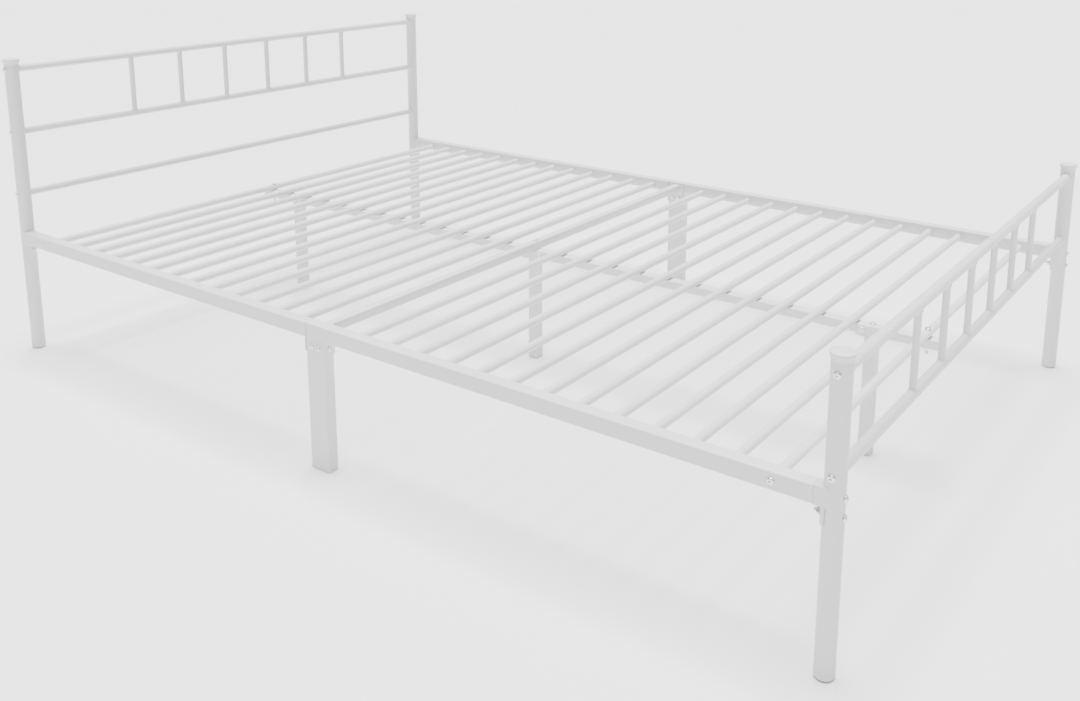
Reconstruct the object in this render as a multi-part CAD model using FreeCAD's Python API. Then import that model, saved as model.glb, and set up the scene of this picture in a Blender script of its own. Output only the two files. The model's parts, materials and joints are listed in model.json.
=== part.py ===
import FreeCAD
import Part
import math
import os

# Bolt-together tubular steel bed frame for a 1400 x 2000 mm mattress.
# +X runs from the headboard to the footboard, +Y to the sleeper's left, +Z up.
# The origin lies on the floor, midway between the four corner posts.

# ---- driving dimensions, millimetres ----
post_spacing_x = 2080.0
post_spacing_y = 1368.0
post_dia = 32.0
post_wall = 1.2
headboard_height = 725.0
footboard_height = 503.0

cap_height = 17.0
cap_dia = 38.0
cap_rim = 3.0
cap_crown = 1.2
cap_spigot_length = 20.0
cap_spigot_wall = 2.0
foot_height = 12.0
foot_rounding = 6.0
foot_spigot_length = 20.0

head_rail_dia = 16.0
head_rail_wall = 1.0
headboard_top_rail_z = 700.0
headboard_middle_rail_z = 548.0
headboard_lower_rail_z = 396.0
foot_rail_dia = 19.0
foot_rail_wall = 1.0
footboard_top_rail_z = 472.0
footboard_bottom_rail_z = 320.0
spindle_dia = 12.7
spindle_wall = 0.8
spindle_pitch = 147.0
spindle_count = 6

insert_length = 18.0
insert_setback = 3.0

side_rail_width = 25.0
side_rail_height = 30.0
side_rail_wall = 1.2
side_rail_top = 302.0
collar_length = 10.0
collar_wall = 2.5
collar_chamfer = 0.9
spigot_wall = 2.0
spigot_length = 75.0
saddle_thickness = 3.0
saddle_bottom = 243.0
corner_bolt_upper_z = 287.0
corner_bolt_lower_z = 257.0
end_bolt_from_post = 90.0

tube_corner_radius = 2.5

slat_dia = 16.0
slat_wall = 1.0
slat_axis_z = 284.0
slats_per_half = 13
first_slat_x = 82.0
slat_pitch = 72.2

cross_rail_size = 20.0
cross_rail_wall = 1.2
centre_rail_width = 24.0
centre_rail_height = 20.0
centre_rail_wall = 1.2
centre_rail_end_x = 976.0
centre_rail_gap = 8.0
joiner_half_length = 80.0
joiner_wall = 2.0
plug_flange = 2.0
plug_depth = 14.0

middle_leg_length = 50.0
middle_leg_wall = 1.5
middle_leg_plug = 2.0
middle_leg_plug_depth = 15.0
middle_plate_thickness = 3.0
middle_plate_bottom = 244.0
leg_foot_height = 6.0
cross_plate_length = 44.0
cross_plate_thickness = 3.0
middle_bolt_z = 257.0
middle_bolt_half_spacing = 9.5

centre_leg_size = 25.0
centre_leg_wall = 1.2
centre_leg_x = 840.0
centre_leg_foot_height = 40.0
centre_leg_foot_wall = 1.5
centre_leg_foot_rounding = 4.0
centre_leg_foot_base = 8.0
saddle_plate = 2.0
saddle_base = 3.0
saddle_wall_height = 16.0
centre_side_bolt_z = 266.0
centre_side_bolt_offset = 18.0
centre_joint_bolt_x = 20.0
centre_saddle_half_length = 30.0

bolt_dia = 6.0
bolt_hole_dia = 6.4
rail_bolt_length = 50.0
end_bolt_length = 12.0
corner_bolt_length = 45.0
plate_bolt_length = 12.0
cross_bolt_length = 35.0
side_bolt_length = 35.0
end_top_bolt_length = 30.0
joint_top_bolt_length = 50.0
slat_bolt_length = 50.0
button_head_dia = 11.5
button_head_height = 3.4
button_head_rounding = 2.0
socket_size = 4.0
socket_depth = 2.0
nut_flats = 10.0
nut_height = 5.0
cut_margin = 1.0

# ---- values worked out from the driving dimensions ----
post_x = post_spacing_x / 2
post_y = post_spacing_y / 2
post_radius = post_dia / 2
rail_outer_y = post_y + post_radius
rail_inner_y = rail_outer_y - side_rail_width
rail_mid_y = rail_outer_y - side_rail_width / 2
rail_bottom = side_rail_top - side_rail_height
rail_mid_z = side_rail_top - side_rail_height / 2
collar_start_x = post_x - post_radius - collar_length
middle_leg_half = middle_leg_length / 2
rail_middle_x = middle_leg_half + middle_plate_thickness
end_bolt_x = post_x - end_bolt_from_post
cross_rail_bottom = slat_axis_z - slat_dia / 2
cross_rail_top = cross_rail_bottom + cross_rail_size
centre_rail_top = cross_rail_bottom
centre_rail_bottom = centre_rail_top - centre_rail_height
centre_leg_top = centre_rail_bottom - saddle_base
last_slat_x = first_slat_x + slat_pitch * (slats_per_half - 1)

x_axis = FreeCAD.Vector(1, 0, 0)
y_axis = FreeCAD.Vector(0, 1, 0)
z_axis = FreeCAD.Vector(0, 0, 1)

os.makedirs("parts", exist_ok=True)


# ---- shape helpers ----
def point(x, y, z):
    return FreeCAD.Vector(x, y, z)


def block(x0, x1, y0, y1, z0, z1):
    corner = point(min(x0, x1), min(y0, y1), min(z0, z1))
    return Part.makeBox(abs(x1 - x0), abs(y1 - y0), abs(z1 - z0), corner)


def rod(radius, start, end):
    way = end.sub(start)
    return Part.makeCylinder(radius, way.Length, start, way)


def round_tube(diameter, wall, start, end):
    outer = rod(diameter / 2, start, end)
    inner = rod(diameter / 2 - wall, start, end)
    return outer.cut(inner)


def box_tube_x(x0, x1, y_mid, z_mid, width, height, wall):
    y0 = y_mid - width / 2
    y1 = y_mid + width / 2
    z0 = z_mid - height / 2
    z1 = z_mid + height / 2
    outer = block(x0, x1, y0, y1, z0, z1)
    inner = block(x0, x1, y0 + wall, y1 - wall, z0 + wall, z1 - wall)
    return hollowed(outer, inner, x_axis, wall)


def box_tube_y(y0, y1, x_mid, z_mid, width, height, wall):
    x0 = x_mid - width / 2
    x1 = x_mid + width / 2
    z0 = z_mid - height / 2
    z1 = z_mid + height / 2
    outer = block(x0, x1, y0, y1, z0, z1)
    inner = block(x0 + wall, x1 - wall, y0, y1, z0 + wall, z1 - wall)
    return hollowed(outer, inner, y_axis, wall)


def box_tube_z(z0, z1, x_mid, y_mid, length, width, wall):
    x0 = x_mid - length / 2
    x1 = x_mid + length / 2
    y0 = y_mid - width / 2
    y1 = y_mid + width / 2
    outer = block(x0, x1, y0, y1, z0, z1)
    inner = block(x0 + wall, x1 - wall, y0 + wall, y1 - wall, z0, z1)
    return hollowed(outer, inner, z_axis, wall)


def hollowed(outer, inner, direction, wall):
    # a drawn tube: round corners outside, and inside rounder by one wall less
    skin = rounded_along(outer, direction, tube_corner_radius)
    core = rounded_along(inner, direction, tube_corner_radius - wall)
    return skin.cut(core)


def rounded_along(solid, direction, radius):
    edges = []
    for edge in solid.Edges:
        tangent = edge.tangentAt(edge.FirstParameter)
        if abs(abs(tangent.dot(direction)) - 1.0) < 0.001:
            edges.append(edge)
    return solid.makeFillet(radius, edges)


def mirrored_x(solid):
    return solid.mirror(point(0, 0, 0), x_axis)


def mirrored_y(solid):
    return solid.mirror(point(0, 0, 0), y_axis)


def with_y_mirror(solids):
    return solids + [mirrored_y(solid) for solid in solids]


def with_x_mirror(solids):
    return solids + [mirrored_x(solid) for solid in solids]


def drill(solid, holes):
    for hole in holes:
        solid = solid.cut(hole)
    return solid


def hexagon(flats, start, direction, height):
    # a hexagonal prism standing on start and growing along direction
    corner_radius = flats / math.sqrt(3)
    corners = []
    for step in range(7):
        angle = math.radians(60 * step + 30)
        corners.append(point(corner_radius * math.cos(angle), corner_radius * math.sin(angle), 0))
    prism = Part.Face(Part.makePolygon(corners)).extrude(point(0, 0, height))
    turn = FreeCAD.Rotation(z_axis, direction)
    prism.Placement = FreeCAD.Placement(start, turn)
    return prism


def button_bolt(seat, direction, length):
    # the head sits outside the seat, the shank runs from the seat along direction
    back = point(-direction.x, -direction.y, -direction.z)
    head = Part.makeCylinder(button_head_dia / 2, button_head_height, seat, back)
    crown = []
    for edge in head.Edges:
        middle = edge.CenterOfMass.sub(seat)
        if edge.Closed and abs(middle.dot(back) - button_head_height) < 0.001:
            crown.append(edge)
    head = head.makeFillet(button_head_rounding, crown)
    socket_start = seat.add(point(back.x, back.y, back.z).multiply(button_head_height - socket_depth))
    head = head.cut(hexagon(socket_size, socket_start, back, socket_depth + cut_margin))
    shank = Part.makeCylinder(bolt_dia / 2, length, seat, direction)
    return head.fuse(shank).removeSplitter()


def hex_nut(start, direction):
    nut = hexagon(nut_flats, start, direction, nut_height)
    bore = Part.makeCylinder(bolt_dia / 2, nut_height, start, direction)
    return nut.cut(bore)


def save(node, solids):
    shape = solids[0] if len(solids) == 1 else Part.makeCompound(solids)
    shape.exportStep("parts/" + node + ".step")


# ---- holes for the bolts, made once and cut from every piece they pass through ----
def hole_along_y(x, z, y0, y1):
    return rod(bolt_hole_dia / 2, point(x, y0, z), point(x, y1, z))


def hole_along_x(y, z, x0, x1):
    return rod(bolt_hole_dia / 2, point(x0, y, z), point(x1, y, z))


def hole_along_z(x, y, z0, z1):
    return rod(bolt_hole_dia / 2, point(x, y, z0), point(x, y, z1))


# ---- corner posts, with their caps and feet ----
def corner_post(x, height, rail_heights):
    post = round_tube(
        post_dia,
        post_wall,
        point(x, -post_y, foot_height),
        point(x, -post_y, height - cap_height),
    )
    holes = []
    for z in rail_heights:
        holes.append(hole_along_y(x, z, -post_y - post_dia, -post_y + post_dia))
    for z in (corner_bolt_lower_z, corner_bolt_upper_z):
        holes.append(hole_along_x(-post_y, z, x - post_dia, x + post_dia))
    return drill(post, holes)


def post_cap(x, height):
    # a flared finial: a plain collar that opens out to a thin rim under a slightly domed top
    skirt = height - cap_height
    rim_low = height - cap_crown - cap_rim
    rim_high = height - cap_crown
    bore = post_radius - post_wall
    # the flare leaves the post upright and curves out to the rim in one arc
    reach = cap_dia / 2 - post_radius
    rise = rim_low - skirt
    flare_radius = (reach ** 2 + rise ** 2) / (2 * reach)
    half_turn = math.asin(rise / flare_radius) / 2
    flare_start = point(post_radius, 0, skirt)
    flare_middle = point(
        post_radius + flare_radius * (1 - math.cos(half_turn)),
        0,
        skirt + flare_radius * math.sin(half_turn),
    )
    flare_end = point(cap_dia / 2, 0, rim_low)
    crown_radius = ((cap_dia / 2) ** 2 + cap_crown ** 2) / (2 * cap_crown)
    crown_drop = crown_radius - math.sqrt(crown_radius ** 2 - (cap_dia / 4) ** 2)
    crown_middle = point(cap_dia / 4, 0, height - crown_drop)
    outline = [
        Part.Arc(flare_start, flare_middle, flare_end).toShape(),
        Part.makeLine(flare_end, point(cap_dia / 2, 0, rim_high)),
        Part.Arc(point(cap_dia / 2, 0, rim_high), crown_middle, point(0, 0, height)).toShape(),
        Part.makeLine(point(0, 0, height), point(0, 0, skirt - cap_spigot_length)),
        Part.makeLine(point(0, 0, skirt - cap_spigot_length), point(bore, 0, skirt - cap_spigot_length)),
        Part.makeLine(point(bore, 0, skirt - cap_spigot_length), point(bore, 0, skirt)),
        Part.makeLine(point(bore, 0, skirt), flare_start),
    ]
    profile = Part.Face(Part.Wire(outline))
    cap = profile.revolve(point(0, 0, 0), z_axis, 360)
    # the spigot is hollow, so that the top rail's bolt passes through it
    hollow_radius = bore - cap_spigot_wall
    cap = cap.cut(rod(hollow_radius, point(0, 0, skirt - cap_spigot_length), point(0, 0, skirt)))
    cap.translate(point(x, -post_y, 0))
    return cap


def post_foot(x):
    bore = post_radius - post_wall
    base = rod(post_radius, point(x, -post_y, 0), point(x, -post_y, foot_height))
    lower = []
    for edge in base.Edges:
        if edge.Closed and edge.CenterOfMass.z < 0.001:
            lower.append(edge)
    base = base.makeFillet(foot_rounding, lower)
    top = foot_height + foot_spigot_length
    spigot = rod(bore, point(x, -post_y, foot_height), point(x, -post_y, top))
    return base.fuse(spigot).removeSplitter()


head_heights = (headboard_lower_rail_z, headboard_middle_rail_z, headboard_top_rail_z)
foot_heights = (footboard_bottom_rail_z, footboard_top_rail_z)

right_head_post = corner_post(-post_x, headboard_height, head_heights)
right_foot_post = corner_post(post_x, footboard_height, foot_heights)
save("right_headboard_post", [right_head_post])
save("left_headboard_post", [mirrored_y(right_head_post)])
save("right_footboard_post", [right_foot_post])
save("left_footboard_post", [mirrored_y(right_foot_post)])


def drilled_cap(x, height, rail_z):
    cap = post_cap(x, height)
    return cap.cut(hole_along_y(x, rail_z, -post_y - post_dia, -post_y + post_dia))


save("headboard_post_caps", with_y_mirror([drilled_cap(-post_x, headboard_height, headboard_top_rail_z)]))
save("footboard_post_caps", with_y_mirror([drilled_cap(post_x, footboard_height, footboard_top_rail_z)]))
save("headboard_post_feet", with_y_mirror([post_foot(-post_x)]))
save("footboard_post_feet", with_y_mirror([post_foot(post_x)]))


# ---- headboard and footboard: round rails coped to the posts, spindles coped to the rails ----
def board_rail(x, z, diameter, wall):
    rail = round_tube(diameter, wall, point(x, -post_y, z), point(x, post_y, z))
    for side in (-1, 1):
        y = side * post_y
        post = rod(post_radius, point(x, y, z - post_dia), point(x, y, z + post_dia))
        rail = rail.cut(post)
    return rail


def spindle_offsets():
    first = -spindle_pitch * (spindle_count - 1) / 2
    return [first + spindle_pitch * index for index in range(spindle_count)]


def board_spindles(x, low_z, high_z, rail_dia):
    spindles = []
    for y in spindle_offsets():
        spindle = round_tube(spindle_dia, spindle_wall, point(x, y, low_z), point(x, y, high_z))
        for z in (low_z, high_z):
            reach = spindle_dia
            rail = rod(rail_dia / 2, point(x, y - reach, z), point(x, y + reach, z))
            spindle = spindle.cut(rail)
        spindles.append(spindle)
    return spindles


def rail_insert(x, z, bore):
    start = post_y - post_radius - insert_setback
    end = start - insert_length
    insert = rod(bore / 2, point(x, -start, z), point(x, -end, z))
    return insert.cut(rod(bolt_dia / 2, point(x, -start, z), point(x, -end, z)))


def rail_bolt(x, z):
    return button_bolt(point(x, -rail_outer_y, z), y_axis, rail_bolt_length)


save("headboard_top_rail", [board_rail(-post_x, headboard_top_rail_z, head_rail_dia, head_rail_wall)])
save("headboard_middle_rail", [board_rail(-post_x, headboard_middle_rail_z, head_rail_dia, head_rail_wall)])
save("headboard_lower_rail", [board_rail(-post_x, headboard_lower_rail_z, head_rail_dia, head_rail_wall)])
save("footboard_top_rail", [board_rail(post_x, footboard_top_rail_z, foot_rail_dia, foot_rail_wall)])
save("footboard_bottom_rail", [board_rail(post_x, footboard_bottom_rail_z, foot_rail_dia, foot_rail_wall)])

save(
    "headboard_spindles",
    board_spindles(-post_x, headboard_middle_rail_z, headboard_top_rail_z, head_rail_dia),
)
save(
    "footboard_spindles",
    board_spindles(post_x, footboard_bottom_rail_z, footboard_top_rail_z, foot_rail_dia),
)

head_bore = head_rail_dia - 2 * head_rail_wall
foot_bore = foot_rail_dia - 2 * foot_rail_wall
save("headboard_rail_inserts", with_y_mirror([rail_insert(-post_x, z, head_bore) for z in head_heights]))
save("footboard_rail_inserts", with_y_mirror([rail_insert(post_x, z, foot_bore) for z in foot_heights]))
save("headboard_rail_bolts", with_y_mirror([rail_bolt(-post_x, z) for z in head_heights]))
save("footboard_rail_bolts", with_y_mirror([rail_bolt(post_x, z) for z in foot_heights]))


# ---- side rails: four box tubes, each from a corner post to a middle leg ----
def side_rail():
    # the right-hand foot half; the other three are its mirror images
    rail = box_tube_x(
        rail_middle_x,
        collar_start_x,
        -rail_mid_y,
        rail_mid_z,
        side_rail_width,
        side_rail_height,
        side_rail_wall,
    )
    return rail.cut(hole_along_y(end_bolt_x, rail_mid_z, -rail_outer_y - cut_margin, -rail_mid_y))


right_foot_rail = side_rail()
right_head_rail = mirrored_x(right_foot_rail)
save("right_foot_side_rail", [right_foot_rail])
save("right_head_side_rail", [right_head_rail])
save("left_foot_side_rail", [mirrored_y(right_foot_rail)])
save("left_head_side_rail", [mirrored_y(right_head_rail)])


def end_bracket():
    # spigot inside the rail, flush collar outside it, curved saddle plate against the post;
    # the collar's chamfered edge leaves a fine groove where the rail's end meets it
    y0 = -rail_outer_y
    y1 = -rail_inner_y
    collar_end = post_x
    collar = block(collar_start_x, collar_end, y0, y1, rail_bottom, side_rail_top)
    seam = [edge for edge in collar.Edges if edge.BoundBox.XMax < collar_start_x + cut_margin]
    collar = collar.makeChamfer(collar_chamfer, seam)
    hollow = block(
        collar_start_x,
        collar_end,
        y0 + collar_wall,
        y1 - collar_wall,
        rail_bottom + collar_wall,
        side_rail_top - collar_wall,
    )
    collar = collar.cut(hollow)
    spigot_mid_width = side_rail_width - 2 * side_rail_wall
    spigot_mid_height = side_rail_height - 2 * side_rail_wall
    spigot = box_tube_x(
        collar_start_x - spigot_length,
        collar_start_x,
        -rail_mid_y,
        rail_mid_z,
        spigot_mid_width,
        spigot_mid_height,
        spigot_wall,
    )
    centre_low = point(post_x, -post_y, saddle_bottom)
    centre_high = point(post_x, -post_y, side_rail_top)
    ring = rod(post_radius + saddle_thickness, centre_low, centre_high)
    wrap_end = post_x - post_radius / 2
    saddle = ring.common(block(collar_start_x, wrap_end, y0, y1, saddle_bottom, side_rail_top))
    bracket = collar.fuse(saddle).fuse(spigot)
    post = rod(post_radius, point(post_x, -post_y, 0), point(post_x, -post_y, headboard_height))
    bracket = bracket.cut(post)
    holes = [hole_along_y(end_bolt_x, rail_mid_z, -rail_outer_y, -rail_mid_y)]
    for z in (corner_bolt_lower_z, corner_bolt_upper_z):
        holes.append(hole_along_x(-post_y, z, collar_start_x, post_x))
    return drill(bracket, holes).removeSplitter()


save("side_rail_end_brackets", with_x_mirror(with_y_mirror([end_bracket()])))

end_bolt_seat = point(end_bolt_x, -rail_outer_y, rail_mid_z)
end_nut_y = -rail_outer_y + side_rail_wall + spigot_wall
end_bolt = button_bolt(end_bolt_seat, y_axis, end_bolt_length)
end_nut = hex_nut(point(end_bolt_x, end_nut_y, rail_mid_z), y_axis)
save("side_rail_end_bolts", with_x_mirror(with_y_mirror([end_bolt])))
save("side_rail_end_nuts", with_x_mirror(with_y_mirror([end_nut])))

corner_bolts = []
corner_nuts = []
for bolt_z in (corner_bolt_lower_z, corner_bolt_upper_z):
    seat = point(post_x + post_radius, -post_y, bolt_z)
    toward_rail = point(-1, 0, 0)
    corner_bolts.append(button_bolt(seat, toward_rail, corner_bolt_length))
    nut_start = point(post_x - post_radius - saddle_thickness, -post_y, bolt_z)
    corner_nuts.append(hex_nut(nut_start, toward_rail))
save("corner_bolts", with_x_mirror(with_y_mirror(corner_bolts)))
save("corner_nuts", with_x_mirror(with_y_mirror(corner_nuts)))


# ---- middle side legs, the plates that fix the rails to them, and the cross rail ----
def middle_plate():
    plate = block(
        middle_leg_half,
        rail_middle_x,
        -rail_outer_y,
        -rail_inner_y,
        middle_plate_bottom,
        side_rail_top,
    )
    return plate.cut(hole_along_x(-rail_mid_y, middle_bolt_z, middle_leg_half, rail_middle_x))


save("side_rail_middle_plates", with_x_mirror(with_y_mirror([middle_plate()])))

leg_top = side_rail_top - middle_leg_plug
middle_leg = box_tube_z(
    leg_foot_height,
    leg_top,
    0,
    -rail_mid_y,
    middle_leg_length,
    side_rail_width,
    middle_leg_wall,
)
middle_leg_holes = [hole_along_x(-rail_mid_y, middle_bolt_z, -middle_leg_length, middle_leg_length)]
outside_leg = -rail_outer_y - cut_margin
inside_leg = -rail_inner_y + cut_margin
for side in (-1, 1):
    x = side * middle_bolt_half_spacing
    middle_leg_holes.append(hole_along_y(x, middle_bolt_z, outside_leg, inside_leg))
middle_leg = drill(middle_leg, middle_leg_holes)
save("right_middle_leg", [middle_leg])
save("left_middle_leg", [mirrored_y(middle_leg)])

leg_bore_length = middle_leg_length - 2 * middle_leg_wall
leg_bore_width = side_rail_width - 2 * middle_leg_wall
leg_x = middle_leg_half
bore_x = leg_bore_length / 2
bore_y = leg_bore_width / 2
plug_cap = block(-leg_x, leg_x, -rail_outer_y, -rail_inner_y, leg_top, side_rail_top)
plug_cap = rounded_along(plug_cap, z_axis, tube_corner_radius)
plug_stem = block(
    -bore_x,
    bore_x,
    -rail_mid_y - bore_y,
    -rail_mid_y + bore_y,
    leg_top - middle_leg_plug_depth,
    leg_top,
)
plug_stem = rounded_along(plug_stem, z_axis, tube_corner_radius)
save("middle_leg_top_plugs", with_y_mirror([plug_cap.fuse(plug_stem).removeSplitter()]))

foot_pad = block(-leg_x, leg_x, -rail_outer_y, -rail_inner_y, 0, leg_foot_height)
pad_edges = []
for edge in foot_pad.Edges:
    if edge.CenterOfMass.z < leg_foot_height - 0.001:
        pad_edges.append(edge)
foot_pad = foot_pad.makeFillet(tube_corner_radius, pad_edges)
foot_stem = block(
    -bore_x,
    bore_x,
    -rail_mid_y - bore_y,
    -rail_mid_y + bore_y,
    leg_foot_height,
    leg_foot_height + foot_spigot_length,
)
foot_stem = rounded_along(foot_stem, z_axis, tube_corner_radius)
save("middle_leg_feet", with_y_mirror([foot_pad.fuse(foot_stem).removeSplitter()]))

into_leg = point(-1, 0, 0)
plate_bolt_seat = point(rail_middle_x, -rail_mid_y, middle_bolt_z)
plate_bolt = button_bolt(plate_bolt_seat, into_leg, plate_bolt_length)
plate_nut_x = middle_leg_half - middle_leg_wall
plate_nut = hex_nut(point(plate_nut_x, -rail_mid_y, middle_bolt_z), into_leg)
save("middle_plate_bolts", with_x_mirror(with_y_mirror([plate_bolt])))
save("middle_plate_nuts", with_x_mirror(with_y_mirror([plate_nut])))

cross_plate_y = rail_inner_y - cross_plate_thickness
cross_plate = block(
    -cross_plate_length / 2,
    cross_plate_length / 2,
    -rail_inner_y,
    -cross_plate_y,
    middle_plate_bottom,
    cross_rail_top,
)
cross_bolts = []
cross_nuts = []
for side in (-1, 1):
    x = side * middle_bolt_half_spacing
    plate_hole = hole_along_y(x, middle_bolt_z, -rail_outer_y, -cross_plate_y + cut_margin)
    cross_plate = cross_plate.cut(plate_hole)
    cross_bolts.append(button_bolt(point(x, -rail_outer_y, middle_bolt_z), y_axis, cross_bolt_length))
    cross_nuts.append(hex_nut(point(x, -cross_plate_y, middle_bolt_z), y_axis))
save("cross_rail_end_plates", with_y_mirror([cross_plate]))
save("cross_rail_bolts", with_y_mirror(cross_bolts))
save("cross_rail_nuts", with_y_mirror(cross_nuts))

cross_rail = box_tube_y(
    -cross_plate_y,
    cross_plate_y,
    0,
    cross_rail_bottom + cross_rail_size / 2,
    cross_rail_size,
    cross_rail_size,
    cross_rail_wall,
)
cross_rail = cross_rail.cut(hole_along_z(0, 0, cross_rail_bottom - cut_margin, cross_rail_top + cut_margin))
save("middle_cross_rail", [cross_rail])


# ---- slats: round tubes between the inner faces of the side rails ----
def slats(direction):
    tubes = []
    for index in range(slats_per_half):
        x = direction * (first_slat_x + slat_pitch * index)
        start = point(x, -rail_inner_y, slat_axis_z)
        end = point(x, rail_inner_y, slat_axis_z)
        tube = round_tube(slat_dia, slat_wall, start, end)
        if index == slats_per_half - 1:
            tube = tube.cut(hole_along_z(x, 0, centre_rail_top - cut_margin, slat_axis_z + slat_dia))
        tubes.append(tube)
    return tubes


save("head_slats", slats(-1))
save("foot_slats", slats(1))


# ---- centre rail: two box tubes under the slats, joined under the cross rail ----
centre_rail_mid_z = centre_rail_bottom + centre_rail_height / 2
foot_centre_rail = box_tube_x(
    centre_rail_gap / 2,
    centre_rail_end_x - plug_flange,
    0,
    centre_rail_mid_z,
    centre_rail_width,
    centre_rail_height,
    centre_rail_wall,
)
side_bolt_x = centre_leg_x - centre_side_bolt_offset
centre_rail_holes = [
    hole_along_y(centre_joint_bolt_x, centre_side_bolt_z, -centre_rail_width, centre_rail_width),
    hole_along_y(side_bolt_x, centre_side_bolt_z, -centre_rail_width, centre_rail_width),
    hole_along_z(centre_leg_x, 0, centre_rail_bottom - cut_margin, centre_rail_top + cut_margin),
    hole_along_z(last_slat_x, 0, centre_rail_bottom - cut_margin, centre_rail_top + cut_margin),
]
foot_centre_rail = drill(foot_centre_rail, centre_rail_holes)
save("foot_centre_rail", [foot_centre_rail])
save("head_centre_rail", [mirrored_x(foot_centre_rail)])

joiner_width = centre_rail_width - 2 * centre_rail_wall
joiner_height = centre_rail_height - 2 * centre_rail_wall
joiner = box_tube_x(
    -joiner_half_length,
    joiner_half_length,
    0,
    centre_rail_mid_z,
    joiner_width,
    joiner_height,
    joiner_wall,
)
joiner_holes = [hole_along_z(0, 0, centre_rail_bottom, centre_rail_top)]
for side in (-1, 1):
    x = side * centre_joint_bolt_x
    joiner_holes.append(hole_along_y(x, centre_side_bolt_z, -centre_rail_width, centre_rail_width))
save("centre_rail_joiner", [drill(joiner, joiner_holes)])

plug_head = block(
    centre_rail_end_x - plug_flange,
    centre_rail_end_x,
    -centre_rail_width / 2,
    centre_rail_width / 2,
    centre_rail_bottom,
    centre_rail_top,
)
plug_body = block(
    centre_rail_end_x - plug_flange - plug_depth,
    centre_rail_end_x - plug_flange,
    -joiner_width / 2,
    joiner_width / 2,
    centre_rail_mid_z - joiner_height / 2,
    centre_rail_mid_z + joiner_height / 2,
)
plug_head = rounded_along(plug_head, x_axis, tube_corner_radius)
plug_body = rounded_along(plug_body, x_axis, tube_corner_radius)
save("centre_rail_end_plugs", with_x_mirror([plug_head.fuse(plug_body).removeSplitter()]))

slat_bolt_seat = point(last_slat_x, 0, slat_axis_z + slat_dia / 2)
down = point(0, 0, -1)
slat_bolt = button_bolt(slat_bolt_seat, down, slat_bolt_length)
slat_nut = hex_nut(point(last_slat_x, 0, centre_rail_bottom), down)
save("slat_to_centre_rail_bolts", with_x_mirror([slat_bolt]))
save("slat_to_centre_rail_nuts", with_x_mirror([slat_nut]))


# ---- centre legs: square tube, folded saddle on top, sleeve foot below ----
def centre_leg(x):
    return box_tube_z(
        centre_leg_foot_base,
        centre_leg_top,
        x,
        0,
        centre_leg_size,
        centre_leg_size,
        centre_leg_wall,
    )


def centre_saddle(x0, x1, side_bolt_positions, top_bolt_x):
    outer_y = centre_rail_width / 2 + saddle_plate
    outer_top = centre_rail_bottom + saddle_wall_height
    outer = block(x0, x1, -outer_y, outer_y, centre_leg_top, outer_top)
    channel = block(
        x0,
        x1,
        -centre_rail_width / 2,
        centre_rail_width / 2,
        centre_rail_bottom,
        centre_rail_top,
    )
    saddle = outer.cut(channel)
    holes = [hole_along_z(top_bolt_x, 0, centre_leg_top - cut_margin, centre_rail_bottom + cut_margin)]
    for x in side_bolt_positions:
        holes.append(hole_along_y(x, centre_side_bolt_z, -outer_y - cut_margin, outer_y + cut_margin))
    return drill(saddle, holes)


def centre_foot(x):
    outer = centre_leg_size / 2 + centre_leg_foot_wall
    inner = centre_leg_size / 2
    sleeve = block(x - outer, x + outer, -outer, outer, 0, centre_leg_foot_height)
    rounded = []
    for edge in sleeve.Edges:
        if edge.CenterOfMass.z < centre_leg_foot_height - 0.001:
            rounded.append(edge)
    sleeve = sleeve.makeFillet(centre_leg_foot_rounding, rounded)
    well = block(x - inner, x + inner, -inner, inner, centre_leg_foot_base, centre_leg_foot_height)
    well = rounded_along(well, z_axis, tube_corner_radius)
    return sleeve.cut(well)


save("head_centre_leg", [centre_leg(-centre_leg_x)])
save("middle_centre_leg", [centre_leg(0)])
save("foot_centre_leg", [centre_leg(centre_leg_x)])
save("centre_leg_feet", [centre_foot(x) for x in (-centre_leg_x, 0, centre_leg_x)])

saddle_inner_x = centre_leg_x - centre_saddle_half_length
saddle_outer_x = centre_leg_x + centre_leg_size / 2
end_saddle = centre_saddle(saddle_inner_x, saddle_outer_x, [side_bolt_x], centre_leg_x)
joint_saddle = centre_saddle(
    -centre_saddle_half_length,
    centre_saddle_half_length,
    [-centre_joint_bolt_x, centre_joint_bolt_x],
    0,
)
save("centre_leg_saddles", with_x_mirror([end_saddle]) + [joint_saddle])

side_bolt_seat_y = centre_rail_width / 2 + saddle_plate
side_bolts = []
side_nuts = []
for x in (-side_bolt_x, -centre_joint_bolt_x, centre_joint_bolt_x, side_bolt_x):
    seat = point(x, -side_bolt_seat_y, centre_side_bolt_z)
    side_bolts.append(button_bolt(seat, y_axis, side_bolt_length))
    side_nuts.append(hex_nut(point(x, side_bolt_seat_y, centre_side_bolt_z), y_axis))
save("centre_leg_side_bolts", side_bolts)
save("centre_leg_side_nuts", side_nuts)

end_top_bolt = button_bolt(point(centre_leg_x, 0, centre_rail_top), down, end_top_bolt_length)
joint_top_bolt = button_bolt(point(0, 0, cross_rail_top), down, joint_top_bolt_length)
end_top_nut = hex_nut(point(centre_leg_x, 0, centre_leg_top), down)
joint_top_nut = hex_nut(point(0, 0, centre_leg_top), down)
save("centre_leg_top_bolts", with_x_mirror([end_top_bolt]) + [joint_top_bolt])
save("centre_leg_top_nuts", with_x_mirror([end_top_nut]) + [joint_top_nut])
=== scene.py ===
# %% [markdown]
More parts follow.
